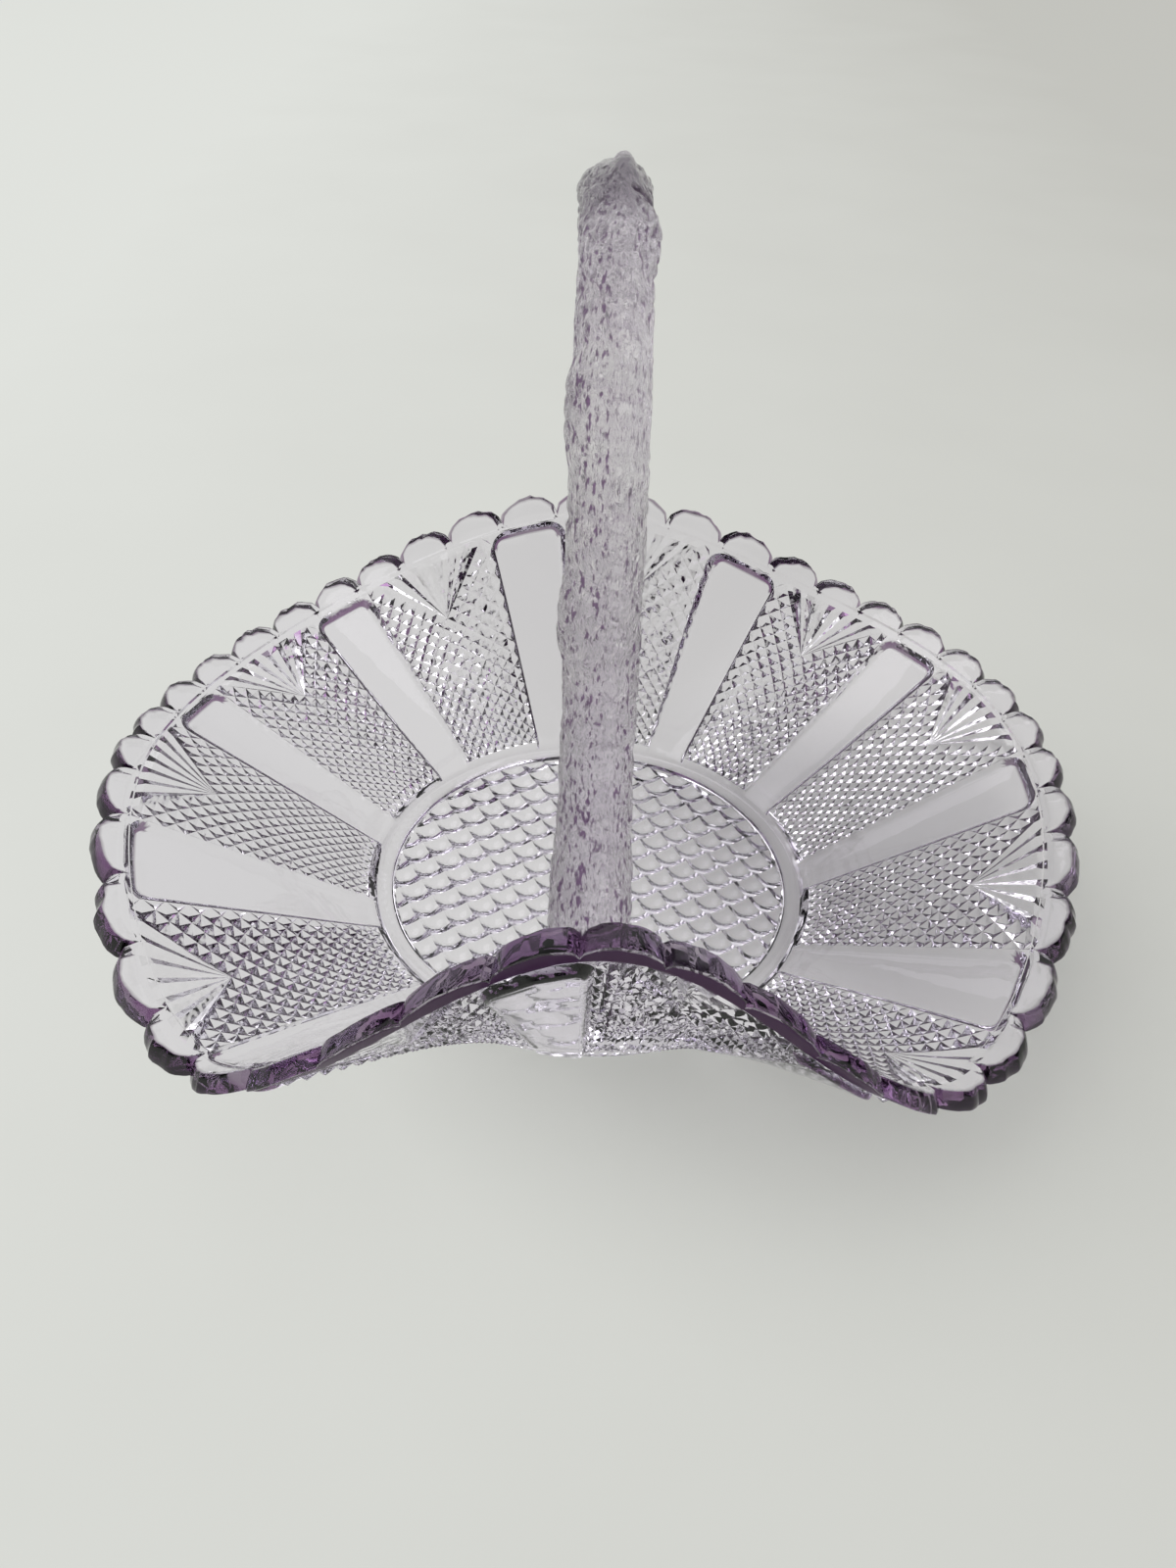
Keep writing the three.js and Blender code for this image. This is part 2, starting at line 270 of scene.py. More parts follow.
def bark_glass():
    material, wire = new_material("bark_glass")
    furrow = mesh_value(wire, "furrow")
    rough = mesh_value(wire, "rough")
    bark = mesh_value(wire, "bark", "Vector")
    wrinkle = cloud(wire, bark, WRINKLE_SCALE, detail=4.0)
    pit = mask(wire, cloud(wire, bark, PIT_SCALE, detail=2.0), *PIT)
    strand = ramp(wire, wrinkle, STRAND)
    # Painted shade in the pits and painted highlight on the strands.
    pit_shade_and_strand_highlight = pit * PIT_SHARE - strand * STRAND_SHARE
    depth = SKIN_DEPTH + furrow * FURROW_SHARE + rough * pit_shade_and_strand_highlight
    bump = wire.node("Bump", None, {
        "Strength": BARK_STRENGTH, "Distance": BARK_RELIEF,
        "Height": rough * (strand * STRAND_RISE - pit),
    })
    surface = wire.node("BsdfPrincipled", None, {
        "Base Color": ramp(wire, depth, BARK_CLEAR_TO_SHADED),
        "Roughness": BARK_ROUGHNESS + wrinkle * WRINKLE_ROUGHNESS, "IOR": GLASS_INDEX,
        "Transmission Weight": BARK_CLEAR, "Normal": bump,
    })
    inside = wire.node("VolumeAbsorption", None, {"Color": BARK_TINT, "Density": BARK_DENSITY})
    wire.node("OutputMaterial", None, {"Surface": surface, "Volume": inside})
    return material


BARK_GLASS = bark_glass()
print("glass:", BARK_GLASS.name)

# %% [markdown]
# The wall stands on the foot ring and leans out to the rim line, which runs along the bottoms
# of the notches between the scallops. A hand could pull the rim into shape in sculpt mode, but
# numbers can be matched to a picture: reach and rise are known at twelve plan angles and a
# smooth closed curve runs through them. Every point of the dish is then named by three things:
# a plan angle, a distance up the wall and an offset towards outside.

# %% The folded wall
RING_RADIUS = 42.0
FLOOR_TOP = 4.0
WALL_HALF = 1.9
REACH = (80.6, 85.7, 79.9, 62.3, 78.3, 83.8, 80.6, 83.7, 79.9, 62.3, 75.8, 81.8)
RISE = (29.2, 25.4, 30.8, 47.9, 31.7, 21.8, 29.2, 26.9, 25.2, 47.9, 26.1, 21.8)
CORNER_DRIFT = radians(2.2)
SHOULDER_DRIFT = radians(1.3)


def around(stations, angle):
    """Smooth closed curve through stations spread evenly round the turn."""
    count = len(stations)
    total = 0.0
    for k, value in enumerate(stations):
        x = angle - 2 * pi * k / count
        waves = sum(2 * cos(wave * x) for wave in range(1, count // 2))
        total += value * (1 + waves + cos(count / 2 * x)) / count
    return total


@lru_cache(maxsize=None)
def wall_line(angle):
    """Length of the wall at a plan angle, and how much of it goes outwards and upwards."""
    run = around(REACH, angle) - RING_RADIUS
    lift = around(RISE, angle) - FLOOR_TOP
    length = hypot(run, lift)
    return length, run / length, lift / length


def polar(angle, radius, height):
    return Vector((radius * cos(angle), radius * sin(angle), height)) * MM


def wall_point(angle, along, offset):
    length, outward, upward = wall_line(angle)
    radius = RING_RADIUS + along * outward + offset * upward
    height = FLOOR_TOP + along * upward - offset * outward
    drift = CORNER_DRIFT * sin(4 * angle) - SHOULDER_DRIFT * sin(6 * angle)
    return polar(angle + drift * along / length, radius, height)


print("wall length at the side:", round(wall_line(0.0)[0], 1), "mm")

# %% [markdown]
# The pattern repeats eleven times round the dish: a smooth panel, then a field of diamond
# points under a fan. It could be cut straight into the curved wall, but it is far easier in a
# flat sheet, one unit wide, with half a panel at each side. Its rows are spaced so that a square
# of the sheet stays square on the dish, as the pattern shrinks towards the foot. Heights in the
# sheet are millimetres of relief.

# %% Rows of the flat sheet
UNITS = 11
UNIT_TURN = 2 * pi / UNITS
PANEL_TURN = radians(68.8)
WALL_LENGTH = 47.0
WALL_FLARE = 0.745
GROWTH = WALL_FLARE * UNIT_TURN
FAN_START = 0.69
FOOT_GAP = 0.2
FAN_END_GAP = 2.2
FAN_TOP_GAP = 0.8
PANEL_TOP_GAP = 1.1
TOP_GAP = 0.3


def row_at(along):
    """Row of the sheet at a distance up a wall of the usual length."""
    return log(1 + WALL_FLARE * along / RING_RADIUS) / GROWTH


def along_at(row):
    return (exp(row * GROWTH) - 1) * RING_RADIUS / WALL_FLARE


FOOT_ROW = row_at(FOOT_GAP)
APEX_ROW = row_at(FAN_START * WALL_LENGTH)
FAN_END = row_at(WALL_LENGTH - FAN_END_GAP)
FAN_TOP = row_at(WALL_LENGTH - FAN_TOP_GAP)
PANEL_TOP = row_at(WALL_LENGTH - PANEL_TOP_GAP)
TOP_ROW = row_at(WALL_LENGTH - TOP_GAP)
print("the sheet is 1 by", round(TOP_ROW - FOOT_ROW, 2), "units")

# %% [markdown]
# The diamonds lie in a square grid turned by an eighth of a turn, with a crossing at the point
# of the fan, so the grid's own lines are the fan's two edges. Everything else is a straight cut
# across that grid: the sides of the sheet, the edges of the panels and their rounded corners.
# Separate tiles would have to be welded, and cutting one sheet keeps all its parts joined.

# %% Cutting helpers
PANEL_HALF = 0.172
PANEL_CORNER = 0.075
CORNER_CUTS = 7
CUT_SLACK = 1e-6
CORNER_MIDDLE = Vector((PANEL_HALF - PANEL_CORNER, PANEL_TOP - PANEL_CORNER))
CORNER_NORMALS = [
    Vector((cos(angle), sin(angle)))
    for angle in (pi / 2 * (k + 0.5) / CORNER_CUTS for k in range(CORNER_CUTS))
]


def each_once(items):
    """The items in the order they come. A set would put them in another order each run."""
    return list(dict.fromkeys(items))


def pieces_of(faces):
    """Faces with their edges and corners, as the cutting operator wants them."""
    edges = each_once(edge for face in faces for edge in face.edges)
    verts = each_once(vert for face in faces for vert in face.verts)
    return [*faces, *edges, *verts]


def cut(bm, point, normal, faces=None, drop=False):
    """Cuts along a line of the flat sheet, and may drop what lies on the normal's side."""
    bmesh.ops.bisect_plane(
        bm, geom=pieces_of(faces or list(bm.faces)), dist=CUT_SLACK,
        plane_co=(*point, 0.0), plane_no=(*normal, 0.0), clear_outer=drop,
    )


def panel_box(middle):
    """Distance inside the straight edges of the nearer panel."""
    return min(PANEL_HALF - min(middle.x, 1 - middle.x), PANEL_TOP - middle.y)


def panel_depth(middle):
    """Distance inside the outline of the nearer panel, below zero outside it."""
    from_corner = Vector((min(middle.x, 1 - middle.x), middle.y)) - CORNER_MIDDLE
    rounding = min(PANEL_CORNER - from_corner.dot(normal) for normal in CORNER_NORMALS)
    return min(panel_box(middle), rounding)


def in_panel(middle):
    return panel_depth(middle) > 0


def faces_where(bm, test):
    return [face for face in bm.faces if test(face.calc_center_median())]


print("corner of a panel:", CORNER_CUTS, "cuts")

# %% Grid of diamonds
DIAMONDS = 12
DIAMOND_STRETCH = 1.15
GRID_CELLS = 40
CELL_AREA = 0.5 * DIAMOND_STRETCH / DIAMONDS**2
NEAR_PANEL = -0.05


def diamond_grid():
    bm = bmesh.new()
    side = sqrt(0.5) / DIAMONDS
    bmesh.ops.create_grid(
        bm, x_segments=GRID_CELLS, y_segments=GRID_CELLS, size=GRID_CELLS * side / 2,
    )
    bmesh.ops.rotate(bm, verts=bm.verts, matrix=Matrix.Rotation(pi / 4, 3, "Z"))
    bmesh.ops.scale(bm, verts=bm.verts, vec=(1.0, DIAMOND_STRETCH, 1.0))
    bmesh.ops.translate(bm, verts=bm.verts, vec=(0.5, APEX_ROW, 0.0))
    cut(bm, (0.0, 0.0), (-1.0, 0.0), drop=True)
    cut(bm, (1.0, 0.0), (1.0, 0.0), drop=True)
    cut(bm, (0.0, FOOT_ROW), (0.0, -1.0), drop=True)
    cut(bm, (0.0, TOP_ROW), (0.0, 1.0), drop=True)
    cut(bm, (0.0, FAN_TOP), (0.0, 1.0))
    return bm


def cut_outline(bm, inset, near, inside):
    """Cuts both half panels along their outline, stepped in by an inset."""
    straight = [((PANEL_HALF - inset, 0.0), (1.0, 0.0)), ((0.0, PANEL_TOP - inset), (0.0, 1.0))]
    step = PANEL_CORNER - inset
    rounded = [(CORNER_MIDDLE + normal * step, normal) for normal in CORNER_NORMALS]
    lines = [(line, near) for line in straight] + [(line, inside) for line in rounded]
    for side in (1, -1):
        for (point, normal), test in lines:
            place = (0.5 - side * 0.5 + side * point[0], point[1])
            faces = faces_where(
                bm, lambda middle: (middle.x < 0.5) == (side > 0) and test(middle),
            )
            cut(bm, place, (side * normal[0], normal[1]), faces)


sheet = diamond_grid()
cut_outline(
    sheet, 0.0,
    near=lambda middle: panel_box(middle) > NEAR_PANEL,
    inside=lambda middle: panel_box(middle) > 0,
)
print("flat sheet:", len(sheet.faces), "faces")

# %% [markdown]
# A fan is a row of V cuts that start together at a point and grow towards the rim, each ending
# in a small sloping facet. Wedges could be cut away with a boolean, which is slow and leaves
# slivers. In the sheet the fan is cut by its rays, the bits between two rays are dissolved into
# one face, and then the far ends of every second ray are pushed in.

# %% Fan of cuts
FAN_CUTS = 7
FAN_DEPTH = 1.3
ROW_SLACK = 1e-5
RAY_SLACK = 1e-3
SECTORS = 2 * FAN_CUTS
FAN_HALF = (FAN_TOP - APEX_ROW) / DIAMOND_STRETCH


def in_fan(middle):
    return abs(middle.x - 0.5) * DIAMOND_STRETCH < middle.y - APEX_ROW and middle.y < FAN_TOP


def sector_at(x, row):
    """Place across the fan at a row, from 0 at one edge to SECTORS at the other."""
    return ((x - 0.5) * DIAMOND_STRETCH / (row - APEX_ROW) + 1) / 2 * SECTORS


def cut_fan(bm):
    for k in range(1, SECTORS):
        slope = (2 * k / SECTORS - 1) / DIAMOND_STRETCH
        cut(bm, (0.5, APEX_ROW), (1.0, -slope), faces_where(bm, in_fan))
    cut(bm, (0.0, FAN_END), (0.0, 1.0), faces_where(bm, in_fan))
    groups = {}
    for face in faces_where(bm, in_fan):
        middle = face.calc_center_median()
        key = (int(sector_at(middle.x, middle.y)), middle.y > FAN_END)
        groups.setdefault(key, []).append(face)
    for group in groups.values():
        bmesh.ops.dissolve_faces(bm, faces=group, use_verts=True)
    for vert in bm.verts:
        if abs(vert.co.y - FAN_END) < ROW_SLACK and abs(vert.co.x - 0.5) < FAN_HALF:
            place = sector_at(vert.co.x, vert.co.y)
            if abs(place - round(place)) < RAY_SLACK and round(place) % 2:
                vert.co.z = -FAN_DEPTH
    return len(groups)


print("fan facets:", cut_fan(sheet))

# %% [markdown]
# Each diamond is a low pyramid. One could be modelled and copied two thousand times, but the
# poke operator does it in place: it puts a point in the middle of a face and lifts it. Cells
# that a panel cuts short get a lower point, as on the mould.

# %% Diamond points
DIAMOND_HEIGHT = 1.15
WHOLE_CELL = 0.99
LEAST_CELL = 0.08
COLUMNS = 56


def in_field(middle):
    return middle.y < FAN_TOP and not in_fan(middle) and not in_panel(middle)


def raise_diamonds(bm):
    cells = [(face, face.calc_area() / CELL_AREA) for face in faces_where(bm, in_field)]
    whole = [face for face, share in cells if share > WHOLE_CELL]
    bmesh.ops.poke(bm, faces=whole, offset=DIAMOND_HEIGHT)
    for face, share in cells:
        if LEAST_CELL < share <= WHOLE_CELL:
            bmesh.ops.poke(bm, faces=[face], offset=DIAMOND_HEIGHT * sqrt(share))
    return len(whole)


def cut_columns(bm):
    """Cuts the strip above the pattern finely enough for the curve of the scallops."""
    for k in range(1, COLUMNS):
        strip = faces_where(bm, lambda middle: middle.y > FAN_TOP)
        cut(bm, (k / COLUMNS, 0.0), (1.0, 0.0), strip)


cut_columns(sheet)
print("whole diamonds in one unit:", raise_diamonds(sheet))

# %% [markdown]
# The panels stand more than a millimetre proud, with a rounded edge that shows as the dark
# outline round each one. Inset and bevel would do for one face, but a panel is open at the foot
# and cut in half by the sheet's side. So the grid inside it is dissolved, the outline is cut
# again, stepped in three times, and each point is lifted by its distance from the outline.

# %% Raised panels
UNIT_WIDTH = 44.0
PANEL_ROUNDING = ((0.0, 0.0), (0.9, 1.3), (1.4, 1.6), (1.9, 1.7))
PANEL_BANDS = 14


def panel_lift(depth):
    """Height of a panel at a distance inside its outline, both in millimetres."""
    for (start, low), (end, high) in zip(PANEL_ROUNDING, PANEL_ROUNDING[1:]):
        if depth < end:
            return low + (high - low) * max(0.0, depth - start) / (end - start)
    return PANEL_ROUNDING[-1][1]


def raise_panels(bm):
    for left in (True, False):
        half = faces_where(bm, lambda middle: in_panel(middle) and (middle.x < 0.5) == left)
        bmesh.ops.dissolve_faces(bm, faces=half)
    for inset, _ in PANEL_ROUNDING[1:]:
        cut_outline(bm, inset / UNIT_WIDTH, in_panel, in_panel)
    for k in range(1, PANEL_BANDS):
        row = FOOT_ROW + (PANEL_TOP - FOOT_ROW) * k / PANEL_BANDS
        cut(bm, (0.0, row), (0.0, 1.0), faces_where(bm, in_panel))
    for vert in bm.verts:
        depth = panel_depth(vert.co)
        if depth > CUT_SLACK:
            vert.co.z = panel_lift(depth * UNIT_WIDTH + CUT_SLACK)


raise_panels(sheet)
print("flat sheet:", len(sheet.faces), "faces")

# %% [markdown]
# Eleven copies side by side make the sheet for the whole dish. An Array modifier would do the
# same, but the copies have to be one mesh before the rim is drawn on. The relief shrinks with the
# pattern towards the foot.


# %% Eleven units
def copy_units(bm):
    for vert in bm.verts:
        vert.co.z *= exp((vert.co.y - TOP_ROW) * GROWTH)
    unit = [*bm.verts, *bm.edges, *bm.faces]
    for k in range(1, UNITS):
        made = bmesh.ops.duplicate(bm, geom=unit)["geom"]
        verts = [item for item in made if isinstance(item, bmesh.types.BMVert)]
        bmesh.ops.translate(bm, verts=verts, vec=(k, 0.0, 0.0))
    bmesh.ops.remove_doubles(bm, verts=bm.verts, dist=ROW_SLACK)


copy_units(sheet)
print("eleven units:", len(sheet.faces), "faces")

# %% [markdown]
# The rim is the thick scalloped edge of the pressing, and the inside of the wall below it is
# smooth. A Solidify modifier would copy the pattern to the inside, so the top edge of the sheet
# is drawn on instead, row by row: up the scallops, round their edge and down the inside, with a
# fine raised line along the bottoms of the notches.

# %% Scalloped rim
LIP_ROWS = 4
EDGE_ROWS = 8
INNER_ROWS = 14
NOTCH_LINE = 0.3
NOTCH_LINE_TOP = 0.02
NOTCH_LINE_END = 0.008


def draw_on(bm, edges, place):
    """Extrudes a row of edges once and puts the new points where place says."""
    made = bmesh.ops.extrude_edge_only(bm, edges=edges)["geom"]
    verts = {item for item in made if isinstance(item, bmesh.types.BMVert)}
    for vert in verts:
        place(vert)
    rows = [item for item in made if isinstance(item, bmesh.types.BMEdge)]
    return [edge for edge in rows if verts.issuperset(edge.verts)]


def rim_rows():
    """Rows past the top of the sheet, as (row, relief)."""
    inside = -2 * WALL_HALF
    for k in range(1, LIP_ROWS + 1):
        yield TOP_ROW + k / LIP_ROWS, 0.0
    for k in range(1, EDGE_ROWS):
        turn = pi * k / EDGE_ROWS
        yield TOP_ROW + 1 + sqrt(sin(turn)), WALL_HALF * (cos(turn) - 1)
    for k in range(LIP_ROWS, 0, -1):
        yield TOP_ROW + k / LIP_ROWS, inside
    yield TOP_ROW + NOTCH_LINE_TOP, inside - NOTCH_LINE
    yield TOP_ROW, inside - NOTCH_LINE
    yield TOP_ROW - NOTCH_LINE_END, inside
    for k in range(1, INNER_ROWS + 1):
        yield TOP_ROW + (FOOT_ROW - TOP_ROW) * k / INNER_ROWS, inside


def on_top_row(edge):
    return edge.is_boundary and all(abs(vert.co.y - TOP_ROW) < ROW_SLACK for vert in edge.verts)


def draw_rim(bm):
    edges = [edge for edge in bm.edges if on_top_row(edge)]
    for row, relief in rim_rows():
        def place(vert):
            vert.co.y = row
            vert.co.z = relief
        edges = draw_on(bm, edges, place)


draw_rim(sheet)
print("with rim and inside:", len(sheet.faces), "faces")

# %% [markdown]
# Thick edges, the strip under the rim and the facets each get their own darkness in the glass.
# Vertex paint could mark them, but the sheet still knows what each point belongs to, so three
# layers of numbers are filled in before it is bent.

# %% Dark places
EDGE_WIDTH = 1.5
EDGE_START = 0.1
# Most painted shade a facet gets where light runs along it.
FACET_SHADE = 0.8
FACET_START = 0.08
RELIEF_SLACK = 0.01


def edge_tint_and_shade_at(point):
    """How much a point of the sheet belongs to a thick edge of purple and painted shade, 0 to 1.
    """
    if point.y > TOP_ROW + 1:
        return 1.0
    depth = panel_depth(Vector((point.x % 1, point.y))) * UNIT_WIDTH
    at_end = PANEL_TOP - point.y < PANEL_CORNER
    return float(at_end and point.z > 0 and EDGE_START < depth < EDGE_WIDTH)


def lip_at(point):
    """1 on the smooth outer strip under the rim, and 0 elsewhere."""
    return float(FAN_TOP < point.y <= TOP_ROW + 1 and point.z > -RELIEF_SLACK)


def facet_at(point):
    """How much painted shade a pattern facet gets where light runs along it, from 0 to 1."""
    if point.z < -WALL_HALF or not FOOT_ROW + FACET_START < point.y < FAN_TOP:
        return 0.0
    depth = panel_depth(Vector((point.x % 1, point.y))) * UNIT_WIDTH
    return FACET_SHADE if depth < EDGE_WIDTH else 0.0


edge_tint_and_shade_layer = sheet.verts.layers.float.new("edge")
lip_layer = sheet.verts.layers.float.new("lip")
facet_layer = sheet.verts.layers.float.new("facet")
for vert in sheet.verts:
    vert[edge_tint_and_shade_layer] = edge_tint_and_shade_at(vert.co)
    vert[lip_layer] = lip_at(vert.co)
    vert[facet_layer] = facet_at(vert.co)
print("points on facets:", sum(vert[facet_layer] > 0 for vert in sheet.verts))

# %% [markdown]
# Now the sheet becomes the dish. Modifiers could bend it in steps, but one formula does it
# exactly: a column of the sheet is a plan angle, a row is a distance up the wall and the relief
# is an offset. Past the top row lie the scallops, four to a unit, whose edges have small chips.

# %% Round the dish
SCALLOPS = 4
SCALLOP_DEPTH = 4.0
NOTCH_RISE = 0.8
EDGE_DEPTH = 0.9
CHIP_DEPTH = 0.6
CHIP_CELLS = 50.0
CHIP_RISE = 0.5
WELD = 1e-7


def scallop_at(x):
    across = SCALLOPS * x - round(SCALLOPS * x)
    return NOTCH_RISE + SCALLOP_DEPTH * sqrt(max(0.0, 1 - (2 * across) ** 2))


def bend(point):
    """Point of the dish for a point of the sheet."""
    angle = PANEL_TURN + (point.x % UNITS) * UNIT_TURN
    length = wall_line(round(angle, 6))[0]
    along = along_at(min(point.y, TOP_ROW)) * length / WALL_LENGTH
    past = point.y - TOP_ROW
    if past > 0:
        scallop = scallop_at(point.x)
        tip = length + scallop - EDGE_DEPTH
        along += (tip - along) * min(past, 1.0) + EDGE_DEPTH * max(past - 1.0, 0.0)
        chip = noise.noise(polar(angle, CHIP_CELLS, past * CHIP_RISE) / MM)
        along += CHIP_DEPTH * chip * min(past, 1.0) * (scallop - NOTCH_RISE) / SCALLOP_DEPTH
    return wall_point(round(angle, 6), along, WALL_HALF + point.z)


for vert in sheet.verts:
    vert.co = bend(vert.co)
bmesh.ops.remove_doubles(sheet, verts=sheet.verts, dist=WELD)
print("bent sheet:", len(sheet.faces), "faces")

# %% [markdown]
# The underside within the foot ring is covered with small domes in a square grid, which look
# like fish scales through the floor. Spheres could be set side by side, but then they would have
# to be joined. A grid is bulged cell by cell instead, and trimmed to a round plate.

# %% Pillows of the base
PILLOW_PITCH = 4.8
PILLOW_TURN = radians(32.0)
PILLOW_STEPS = 8
PILLOW_HEIGHT = 1.6
PILLOW_VALLEY = 1.75
PLATE_RADIUS = 37.1
PLATE_CELLS = 16
PLATE_SIDES = 72
TRIM_SLACK = 1e-8


def pillow_plate(bm):
    """Adds the plate of pillows and returns the edges round it."""
    steps = PLATE_CELLS * PILLOW_STEPS
    half = PLATE_CELLS * PILLOW_PITCH / 2
    verts = bmesh.ops.create_grid(bm, x_segments=steps, y_segments=steps, size=half)["verts"]
    faces = each_once(face for vert in verts for face in vert.link_faces)
    for vert in verts:
        across = vert.co.x / PILLOW_PITCH
        along = vert.co.y / PILLOW_PITCH
        swell = 1 - ((2 * (across % 1) - 1) ** 2 + (2 * (along % 1) - 1) ** 2) / 2
        vert.co.z = PILLOW_VALLEY - PILLOW_HEIGHT * swell
    spin = Matrix.Rotation(PILLOW_TURN, 4, "Z") @ Matrix.Scale(MM, 4)
    bmesh.ops.transform(bm, verts=verts, matrix=spin)
    for k in range(PLATE_SIDES):
        side = polar(2 * pi * k / PLATE_SIDES, PLATE_RADIUS, 0.0)
        made = bmesh.ops.bisect_plane(
            bm, geom=pieces_of(faces), dist=TRIM_SLACK,
            plane_co=side, plane_no=side, clear_outer=True,
        )["geom"]
        faces = [item for item in made if isinstance(item, bmesh.types.BMFace) and item.is_valid]
    edges = each_once(edge for face in faces for edge in face.edges)
    return [edge for edge in edges if edge.is_boundary]


print("pillows across the plate:", round(2 * PLATE_RADIUS / PILLOW_PITCH, 1))

# %% [markdown]
# Below the wall the sheet ends in two loops. A lathe would make the foot, but its points would
# not meet those of the wall. So the outer loop is drawn down to the foot ring and under it, a
# little darkened where the ring's glass is thick, with deep purple and painted shade, and bridged
# to the plate of pillows. The inner loop only needs a smooth floor.

# %% Foot and floor
# Radius, height, and how much deep purple and painted shade the foot ring gets there.
FOOT_PROFILE = (
    (42.7, 1.2, 0.15), (42.1, 0.35, 0.15), (41.5, 0.03, 0.05), (41.0, 0.0, 0.0),
    (38.6, 0.0, 0.0), (37.9, 0.3, 0.25), (37.5, 0.9, 0.3),
)
FLOOR_PROFILE = ((40.0, 4.75), (39.2, 4.3), (38.2, 4.05), (36.0, FLOOR_TOP), (20.0, FLOOR_TOP))
LOOP_SPLIT = 37.7


def ring_row(bm, edges, radius, height, shade=0.0):
    def place(vert):
        vert.co = polar(atan2(vert.co.y, vert.co.x), radius, height)
        # Deep purple and painted shade where the foot ring's glass is thick.
        vert[edge_tint_and_shade_layer] = shade
    return draw_on(bm, edges, place)


def loop_edges(bm, outer):
    """Open edges at the foot of the wall, on the outer or the inner side."""
    found = []
    for edge in bm.edges:
        if edge.is_boundary:
            middle = (edge.verts[0].co + edge.verts[1].co) / 2 / MM
            if (hypot(middle.x, middle.y) - middle.z > LOOP_SPLIT) == outer:
                found.append(edge)
    return found


def close_foot(bm):
    inner = loop_edges(bm, outer=False)
    edges = loop_edges(bm, outer=True)
    for radius, height, shade in FOOT_PROFILE:
        edges = ring_row(bm, edges, radius, height, shade)
    bmesh.ops.bridge_loops(bm, edges=edges + pillow_plate(bm))
    for radius, height in FLOOR_PROFILE:
        inner = ring_row(bm, inner, radius, height)
    bmesh.ops.edgeloop_fill(bm, edges=inner)


close_foot(sheet)
print("open edges left:", sum(edge.is_boundary for edge in sheet.edges))

# %% [markdown]
# Glass needs one closed skin whose faces all point out. An auto smooth modifier could shade it,
# but marked edges stay with the mesh: facets stay crisp where two faces meet at a clear angle,
# and everything else is smooth.

# %% The bowl
CREASE = radians(24)


def crease(bm):
    for face in bm.faces:
        face.smooth = True
        face.material_index = 0
    for edge in bm.edges:
        edge.smooth = edge.calc_face_angle(0.0) < CREASE


def make_piece(bm, name, material):
    bmesh.ops.recalc_face_normals(bm, faces=bm.faces)
    crease(bm)
    mesh = bpy.data.meshes.new(name)
    bm.to_mesh(mesh)
    bm.free()
    piece = bpy.data.objects.new(name, mesh)
    scene.collection.objects.link(piece)
    mesh.materials.append(material)
    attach(piece, "root")
    print(name, "has", sum(len(face.vertices) - 2 for face in mesh.polygons), "triangles")
    return piece


bowl = make_piece(sheet, "pressed_bowl", BOWL_GLASS)
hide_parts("bowl")

# %% [markdown]
# Each arm starts on the inner face of the wall, climbs over the rim, stands up and runs round a
# quarter of the arch, as a gob of hot glass was pulled from the rim. A curve with a bevel would
# follow such a path, but with one section all along. So the path is a list of points, one Bezier
# from the heel to the foot of the arch and then a circle, along which a sheet is rolled later.

# %% Path of an arm
BAIL_HEIGHT = 130.5
BAIL_HALF_SPAN = 43.0
BAIL_WIDTH = 10.0
BAIL_DEPTH = 9.0
BAIL_LEAN = -1.2
FOOT_LAP = 8.0
FOOT_WIDTH = 11.4
FOOT_PAD = 5.0
FOOT_SINK = 1.2
CROWN = BAIL_HEIGHT - BAIL_DEPTH / 2
CROWN_RUN = 6.0
PATH_STEPS = 160


def arm_path():
    """Points of the middle line in the arm's own plane, away from the axis and up."""
    length, outward, upward = wall_line(pi / 2)
    slope = Vector((outward, upward))
    heel = Vector((RING_RADIUS, FLOOR_TOP)) + slope * (length - FOOT_LAP)
    heel += Vector((-upward, outward)) * (WALL_HALF + FOOT_PAD / 2 - FOOT_SINK)
    base = Vector((BAIL_HALF_SPAN, CROWN - BAIL_HALF_SPAN))
    pull = (base.y - heel.y) / 2
    points = geometry.interpolate_bezier(
        heel, heel + slope * pull, base - Vector((0.0, pull)), base, PATH_STEPS,
    )
    points = [Vector(point[:2]) for point in points]
    for k in range(1, PATH_STEPS + 1):
        turn = (pi / 2 + CROWN_RUN / BAIL_HALF_SPAN) * k / PATH_STEPS
        points.append(base + BAIL_HALF_SPAN * Vector((cos(turn) - 1, sin(turn))))
    return points


PATH = arm_path()
PATH_AT = [0.0]
for before, after in zip(PATH, PATH[1:]):
    PATH_AT.append(PATH_AT[-1] + (after - before).length)
ARM_LENGTH = PATH_AT[-1] - CROWN_RUN
print("arm length:", round(ARM_LENGTH, 1), "mm")

# %% [markdown]
# Across, an arm is an ellipse. It is flat and rounded off at the heel, broad where it crosses
# the rim, and swollen at three knots, as on a twig. The knots could be sculpted, but a hump that
# fades to both sides keeps the mesh even, and its place can be set.

# %% Section of an arm
RIM_AT = FOOT_LAP + SCALLOP_DEPTH
HEEL_ROUND = 6.0
HEEL_START = 0.5
KNOTS = ((38.0, 1), (63.0, 1), (90.0, -1))
KNOT_HEIGHT = 0.9
KNOT_LENGTH = 7.0


def smooth_step(value, low, high):
    share = min(1.0, max(0.0, (value - low) / (high - low)))
    return share * share * (3 - 2 * share)


